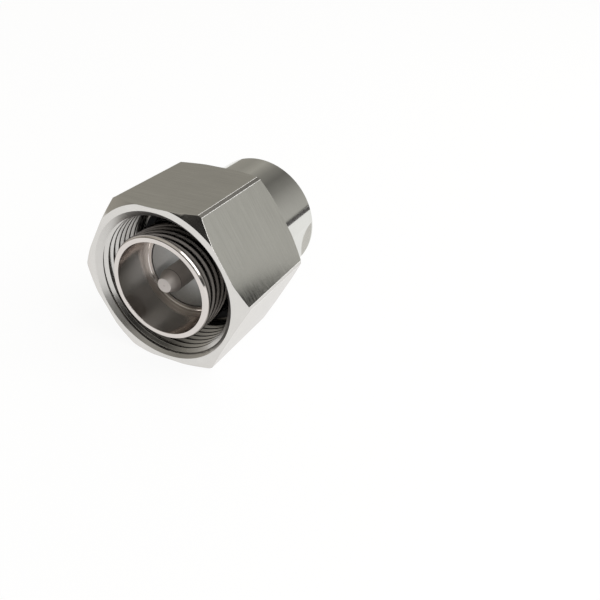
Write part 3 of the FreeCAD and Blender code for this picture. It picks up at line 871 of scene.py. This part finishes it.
    def sweep_thread(self, bm, sizes, mouth):
        """Sweep one pitch of the thread once up its helix and stack the turns."""
        start = mouth - LEAD_TURNS * sizes.pitch
        end = start + sizes.pitch
        half_crest = sizes.pitch / 8
        flank = sizes.thread_height * math.tan(FLANK_ANGLE)
        root_radius = sizes.crest_radius + sizes.thread_height
        coil = bmesh.new()
        put_outline(coil, [
            (sizes.crest_radius, start, 0),
            (sizes.crest_radius, start + half_crest, 0.06),
            (root_radius, start + half_crest + flank, 0.07),
            (root_radius, end - half_crest - flank, 0.07),
            (sizes.crest_radius, end - half_crest, 0.06),
            (sizes.crest_radius, end, 0),
        ])
        bmesh.ops.spin(coil, geom=coil.verts[:] + coil.edges[:], cent=(0, 0, 0),
                       axis=(0, 1, 0), dvec=(0, sizes.pitch / STEPS, 0), angle=FULL_TURN,
                       steps=STEPS, use_merge=False)
        one_turn = bpy.data.meshes.new("one_turn")
        coil.to_mesh(one_turn)
        coil.free()
        blank = set(bm.verts)
        for _ in range(LEAD_TURNS + math.ceil(sizes.thread_end / sizes.pitch) + 1):
            bm.from_mesh(one_turn)
            one_turn.transform(Matrix.Translation((0, sizes.pitch, 0)))
        bpy.data.meshes.remove(one_turn)
        fresh = [vert for vert in bm.verts if vert not in blank]
        bmesh.ops.remove_doubles(bm, verts=fresh, dist=SAME_TURN)

    def shape_thread_ends(self, verts, sizes, mouth):
        """Widen the thread to the lead-in cone and let it fade at its far end."""
        for vert in verts:
            depth = vert.co.y - mouth
            radius = radius_of(vert.co)
            fade = min(1.0, max(0.0, (sizes.thread_end - depth) / sizes.runout))
            faded = sizes.crest_radius + (radius - sizes.crest_radius) * fade
            widened = max(faded, sizes.mouth_radius - depth)
            vert.co.x *= widened / radius
            vert.co.z *= widened / radius


class TERMINATOR_OT_connector_body(bpy.types.Operator):
    """Turned body with two wrench flats"""

    bl_idname = "terminator.connector_body"
    bl_label = "Connector Body"

    # Places of the finishes in the list of the piece's materials
    POLISHED, FACED = range(2)

    def execute(self, context):
        sizes = in_mm(context.scene.terminator_body)
        colours = context.scene.terminator_finish
        front, rear = station_of(BODY_LOW), station_of(BODY_HIGH)
        bm = bmesh.new()
        turn(bm, [
            (sizes.seat_radius, front, 0),
            (sizes.radius, front, 0.08),
            (sizes.radius, sizes.groove_start, 0),
            (sizes.groove_radius, sizes.groove_start, 0),
            (sizes.groove_radius, sizes.groove_end, 0),
            (sizes.radius, sizes.groove_end, 0),
            (sizes.radius, rear - sizes.edge, 0.06),
            (sizes.radius - sizes.edge, rear, 0.06),
            (sizes.bore_radius + sizes.edge, rear, 0.06),
            (sizes.bore_radius, rear - sizes.edge, 0.06),
            (sizes.bore_radius, sizes.seat_end, 0),
            (sizes.seat_radius, sizes.seat_end, 0),
        ], closed=True)
        reach = sizes.radius * CUT_REACH
        carve(bm, [
            box_cutter((low, sizes.flat_start, -reach), (high, sizes.flat_end, reach),
                       sizes.flat_turn)
            for low, high in ((sizes.flat_radius, reach), (-reach, -sizes.flat_radius))
        ])
        flats = [face for face in bm.faces
                 if along_axis(face) and face.calc_area() > FLAT_AREA]
        soften(bm, flats, sizes.flat_edge)
        for face in bm.faces:
            face.material_index = self.FACED if across_axis(face) else self.POLISHED
        finish_piece(bm, "connector_body_dressed", "connector_body", BODY, [
            polished_nickel(colours),
            turned_nickel(colours, "faced_nickel", rate=6.0),
        ])
        return {"FINISHED"}


class TERMINATOR_OT_contacts(bpy.types.Operator):
    """Outer contact, centre pin and load disc"""

    bl_idname = "terminator.contacts"
    bl_label = "Contacts"

    # Places of the finishes in the list of the piece's materials
    PLATING, OUTSIDE, BORE = range(3)

    def execute(self, context):
        sizes = in_mm(context.scene.terminator_contacts)
        colours = context.scene.terminator_finish
        self.outer_contact(sizes, colours)
        self.centre_pin(sizes, colours)
        self.load_disc(sizes, colours)
        return {"FINISHED"}

    def outer_contact(self, sizes, colours):
        """Sleeve with a lip deep in its bore."""
        rear = station_of(CONTACT_HIGH)
        lip_rear = sizes.lip_station + sizes.lip_thickness
        bm = bmesh.new()
        turn(bm, [
            (sizes.bore_radius, 0, 0.10),
            (sizes.sleeve_radius - sizes.sleeve_edge, 0, 0.15),
            (sizes.sleeve_radius, sizes.sleeve_lead, 0.22),
            (sizes.sleeve_radius, sizes.shoulder, 0),
            (sizes.shank_radius, sizes.shoulder, 0),
            (sizes.shank_radius, rear, 0),
            (sizes.chamber_radius, rear, 0),
            (sizes.chamber_radius, lip_rear, 0),
            (sizes.lip_radius, lip_rear, 0),
            (sizes.lip_radius, sizes.lip_station, 0.03),
            (sizes.lip_line - sizes.lip_line_depth, sizes.lip_station, 0),
            (sizes.lip_line, sizes.lip_station + sizes.lip_line_depth, 0),
            (sizes.lip_line + sizes.lip_line_depth, sizes.lip_station, 0),
            (sizes.bore_radius, sizes.lip_station, 0.02),
        ], closed=True)
        for face in bm.faces:
            middle = face.calc_center_median()
            lip = abs(middle.y - sizes.lip_station) < NEAR
            if lip or middle.y <= sizes.sleeve_lead:
                face.material_index = self.PLATING
            elif radius_of(middle) > sizes.sleeve_radius - NEAR:
                face.material_index = self.OUTSIDE
            else:
                face.material_index = self.BORE
        finish_piece(bm, "outer_contact_dressed", "outer_contact", BODY, [
            contact_plating(colours),
            # Painted shade: the sleeve's outside, in the gap inside the nut, is painted at
            # about a third of the plating's brightness
            contact_plating(colours, "sleeve_outside", colours.sleeve_roughness, darker=0.36),
            # Painted shade: the contact's bore is painted a tenth darker than the plating
            contact_plating(colours, "contact_bore", colours.bore_roughness, darker=0.90,
                            corner=sizes.lip_station),
        ])

    def centre_pin(self, sizes, colours):
        """Pin with a tapered nose and a stud behind it."""
        tip, end = station_of(PIN_LOW), station_of(PIN_HIGH)
        seat = station_of(DISC_LOW)
        taper_end = tip + sizes.pin_nose
        bm = bmesh.new()
        turn(bm, [
            (0, tip + sizes.centre_mark, 0),
            (sizes.centre_mark, tip, 0),
            (sizes.pin_tip_radius, tip, 0.06),
            (sizes.pin_radius, taper_end, 0.05),
            (sizes.pin_radius, seat, 0),
            (sizes.stud_radius, seat, 0),
            (sizes.stud_radius, end, 0.15),
            (0, end, 0),
        ])
        finish_piece(bm, "centre_pin_dressed", "centre_pin", BODY,
                     [pin_plating(colours, taper_end)])

    def load_disc(self, sizes, colours):
        """Disc with a raised face, which closes the sleeve."""
        front, rear = station_of(DISC_LOW), station_of(DISC_HIGH)
        rim = (DISC_HIGH.x - DISC_LOW.x) / 2 / MM
        bm = bmesh.new()
        turn(bm, [
            (sizes.stud_hole_radius, front, 0),
            (sizes.disc_face_radius, front, 0.08),
            (sizes.disc_face_radius, front + sizes.disc_step, 0),
            (rim, front + sizes.disc_step, 0),
            (rim, rear, 0),
            (sizes.stud_hole_radius, rear, 0),
        ], closed=True)
        finish_piece(bm, "load_disc_dressed", "load_disc", BODY, [load_film(colours)])


class TERMINATOR_OT_screw_plug(bpy.types.Operator):
    """Slotted screw plug that closes the body"""

    bl_idname = "terminator.screw_plug"
    bl_label = "Screw Plug"

    # Places of the finishes in the list of the piece's materials
    POLISHED, FACED, SLOT = range(3)

    def execute(self, context):
        sizes = in_mm(context.scene.terminator_plug)
        colours = context.scene.terminator_finish
        front, rear = station_of(PLUG_LOW), station_of(PLUG_HIGH)
        bm = bmesh.new()
        turn(bm, [
            (0, front, 0),
            (sizes.radius, front, 0.1),
            (sizes.radius, front + sizes.groove_start, 0),
            (sizes.groove_radius, front + sizes.groove_start, 0),
            (sizes.groove_radius, front + sizes.groove_end, 0),
            (sizes.radius, front + sizes.groove_end, 0),
            (sizes.radius, rear - sizes.edge, 0.05),
            (sizes.radius - sizes.edge, rear, 0.05),
            (0, rear, 0),
        ])
        reach = sizes.radius * CUT_REACH
        half = sizes.slot_width / 2
        floor = rear - sizes.slot_depth
        past = rear + sizes.slot_depth
        carve(bm, [box_cutter((-reach, floor, -half), (reach, past, half), -sizes.slot_turn)])
        walls = [face for face in bm.faces
                 if along_axis(face) and face.calc_area() > SLOT_WALL_AREA
                 and all(vert.co.y > floor - LEVEL for vert in face.verts)]
        soften(bm, walls, sizes.slot_edge)
        upright = Vector((math.sin(sizes.slot_turn), 0, math.cos(sizes.slot_turn)))
        for face in bm.faces:
            middle = face.calc_center_median()
            if (floor - LEVEL < middle.y < rear - LEVEL
                    and abs(middle.dot(upright)) < half + LEVEL):
                face.material_index = self.SLOT
            else:
                face.material_index = self.FACED if across_axis(face) else self.POLISHED
        finish_piece(bm, "rear_plug_dressed", "rear_plug", BODY, [
            polished_nickel(colours),
            turned_nickel(colours, "plug_face", rate=5.0),
            milled_nickel(colours, "milled_slot", colours.slot_roughness),
        ])
        return {"FINISHED"}


class TERMINATOR_OT_inner_pieces(bpy.types.Operator):
    """Finishes of the pieces that the body hides"""

    bl_idname = "terminator.inner_pieces"
    bl_label = "Inner Pieces"

    def execute(self, context):
        colours = context.scene.terminator_finish
        steel = spring_steel(colours)
        rubber = seal_rubber(colours)
        nickel = turned_nickel(colours, "inner_nickel", rate=8.0)
        finishes = {
            "retaining_ring": steel,
            "face_gasket": rubber,
            "pin_washer": steel,
            "pin_nut": nickel,
            "contact_ring": contact_plating(colours),
            "clamp_tube": nickel,
            "disc_spring": steel,
            "plug_seal": rubber,
        }
        for node, material in finishes.items():
            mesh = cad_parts[node].data
            mesh.materials.clear()
            mesh.materials.append(material)
        return {"FINISHED"}


class TERMINATOR_OT_stage(bpy.types.Operator):
    """Pale floor, soft studio light and the camera"""

    bl_idname = "terminator.stage"
    bl_label = "Stage"

    def execute(self, context):
        studio = context.scene.terminator_studio
        self.add_sheet(context, "floor", (0, 0, FLOOR_LEVEL), 0.0,
                       (studio.floor_size, studio.floor_size), floor_paper)
        self.add_sheet(context, "dark_card", studio.card_place, studio.card_turn,
                       (studio.card_width, studio.card_length), dark_card)
        self.add_camera(context, studio)
        self.add_light(context, studio)
        self.set_world(context, studio)
        context.scene.view_settings.view_transform = "Standard"
        return {"FINISHED"}

    def add_sheet(self, context, name, middle, turned, halves, finish):
        """A flat sheet of the stage, from its middle and half its width and length."""
        bm = bmesh.new()
        bmesh.ops.create_grid(bm, x_segments=4, y_segments=4, size=1.0)
        mesh = bpy.data.meshes.new(name)
        bm.to_mesh(mesh)
        bm.free()
        mesh.transform(Matrix.Translation(middle) @ Matrix.Rotation(turned, 4, "Z")
                       @ Matrix.Diagonal((*halves, 1.0, 1.0)))
        mesh.materials.append(finish(context.scene.terminator_finish))
        sheet = bpy.data.objects.new(name, mesh)
        context.scene.collection.objects.link(sheet)
        sheet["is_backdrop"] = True

    def add_camera(self, context, studio):
        """The camera, from the way that it looks and its roll."""
        lens = bpy.data.cameras.new("camera")
        lens.lens = studio.lens
        lens.sensor_width = SENSOR_WIDTH
        lens.clip_start, lens.clip_end = CLIP_START, CLIP_END
        turned, raised, rolled = studio.azimuth, studio.elevation, studio.roll
        forward = Vector((-math.sin(turned) * math.cos(raised),
                          math.cos(turned) * math.cos(raised), -math.sin(raised)))
        level = Vector((math.cos(turned), math.sin(turned), 0))
        upright = level.cross(forward)
        right = level * math.cos(rolled) + upright * math.sin(rolled)
        above = right.cross(forward)
        pose = Matrix((right, above, -forward)).transposed().to_4x4()
        camera = bpy.data.objects.new("camera", lens)
        camera.matrix_world = Matrix.Translation(studio.viewpoint) @ pose
        context.scene.collection.objects.link(camera)
        context.scene.camera = camera

    def add_light(self, context, studio):
        """A large soft light that faces the part."""
        lamp = bpy.data.lights.new("soft_light", "AREA")
        lamp.shape = "SQUARE"
        lamp.size = studio.soft_size
        lamp.energy = studio.soft_power
        way = Vector((0, 0, AXIS_HEIGHT)) - studio.soft_place
        light = bpy.data.objects.new("soft_light", lamp)
        light.matrix_world = (Matrix.Translation(studio.soft_place)
                              @ way.to_track_quat("-Z", "Y").to_matrix().to_4x4())
        context.scene.collection.objects.link(light)

    def set_world(self, context, studio):
        """Walls of a studio: banded wall behind the part, dark room behind the camera."""
        world = bpy.data.worlds.new("studio")
        world.use_nodes = True
        graph = Graph(world.node_tree)
        side, ahead, high = graph.split(graph.coordinates(GENERATED))
        across = side * 0.5 + 0.5
        front = blend(graph.smooth(high, *FRONT_WALL_TOP), graph.ramp(across, *FRONT_WALL),
                      OVER_FRONT_WALL)
        walls = blend(graph.smooth(ahead, *FRONT_TO_REAR), front,
                      graph.ramp(across, *REAR_WALL))
        low_gap = graph.smooth(side, *LOW_GAP_SIDE) * (1.0 - graph.smooth(high, *LOW_GAP_TOP))
        above_flag = graph.smooth(high - side * FLAG_SLOPE, *FLAG_TOP)
        flag = graph.smooth(side, *FLAG_SIDE) * (1.0 - above_flag)
        for gap in (low_gap, flag):
            walls = blend(gap, walls, studio.gap)
        light = blend(graph.smooth(high, *WALL_TO_CEILING), walls, studio.ceiling)
        tint = graph.mix(across, shaded(studio.left_tint), shaded(studio.right_tint))
        background = world.node_tree.nodes["Background"]
        graph.feed(background.inputs["Strength"], light * studio.wall)
        graph.feed(background.inputs["Color"], tint)
        context.scene.world = world


PIECES = (
    TERMINATOR_OT_coupling_nut,
    TERMINATOR_OT_connector_body,
    TERMINATOR_OT_contacts,
    TERMINATOR_OT_screw_plug,
    TERMINATOR_OT_inner_pieces,
    TERMINATOR_OT_stage,
)
GROUPS = {
    "terminator_nut": NutSizes,
    "terminator_body": BodySizes,
    "terminator_contacts": ContactSizes,
    "terminator_plug": PlugSizes,
    "terminator_finish": FinishColours,
    "terminator_studio": StudioSettings,
}


class TERMINATOR_PT_panel(bpy.types.Panel):
    """Sizes, finishes and pieces of the coaxial terminator"""

    bl_idname = "TERMINATOR_PT_panel"
    bl_label = "Coaxial Terminator"
    bl_space_type = "VIEW_3D"
    bl_region_type = "UI"
    bl_category = "Terminator"

    def draw(self, context):
        """List the operators, then the settings of each group."""
        for operator in PIECES:
            self.layout.operator(operator.bl_idname)
        for group in GROUPS:
            settings = getattr(context.scene, group)
            box = self.layout.box()
            for name in setting_names(settings):
                box.prop(settings, name)


CLASSES = (*GROUPS.values(), *PIECES, TERMINATOR_PT_panel)


def register():
    """Register the classes and give the scene its settings."""
    for item in CLASSES:
        bpy.utils.register_class(item)
    for name, group in GROUPS.items():
        setattr(bpy.types.Scene, name, PointerProperty(type=group))


def unregister():
    """Take the settings and the classes away again."""
    for name in GROUPS:
        delattr(bpy.types.Scene, name)
    for item in reversed(CLASSES):
        bpy.utils.unregister_class(item)


def main():
    """Build the terminator on its stage."""
    register()
    for operator in PIECES:
        group, name = operator.bl_idname.split(".")
        getattr(getattr(bpy.ops, group), name)()
    corners = {"cad": CAD_BOX, "visual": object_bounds()}
    {name: [list(corner) for corner in box] for name, box in corners.items()}


if __name__ == "__main__":
    main()
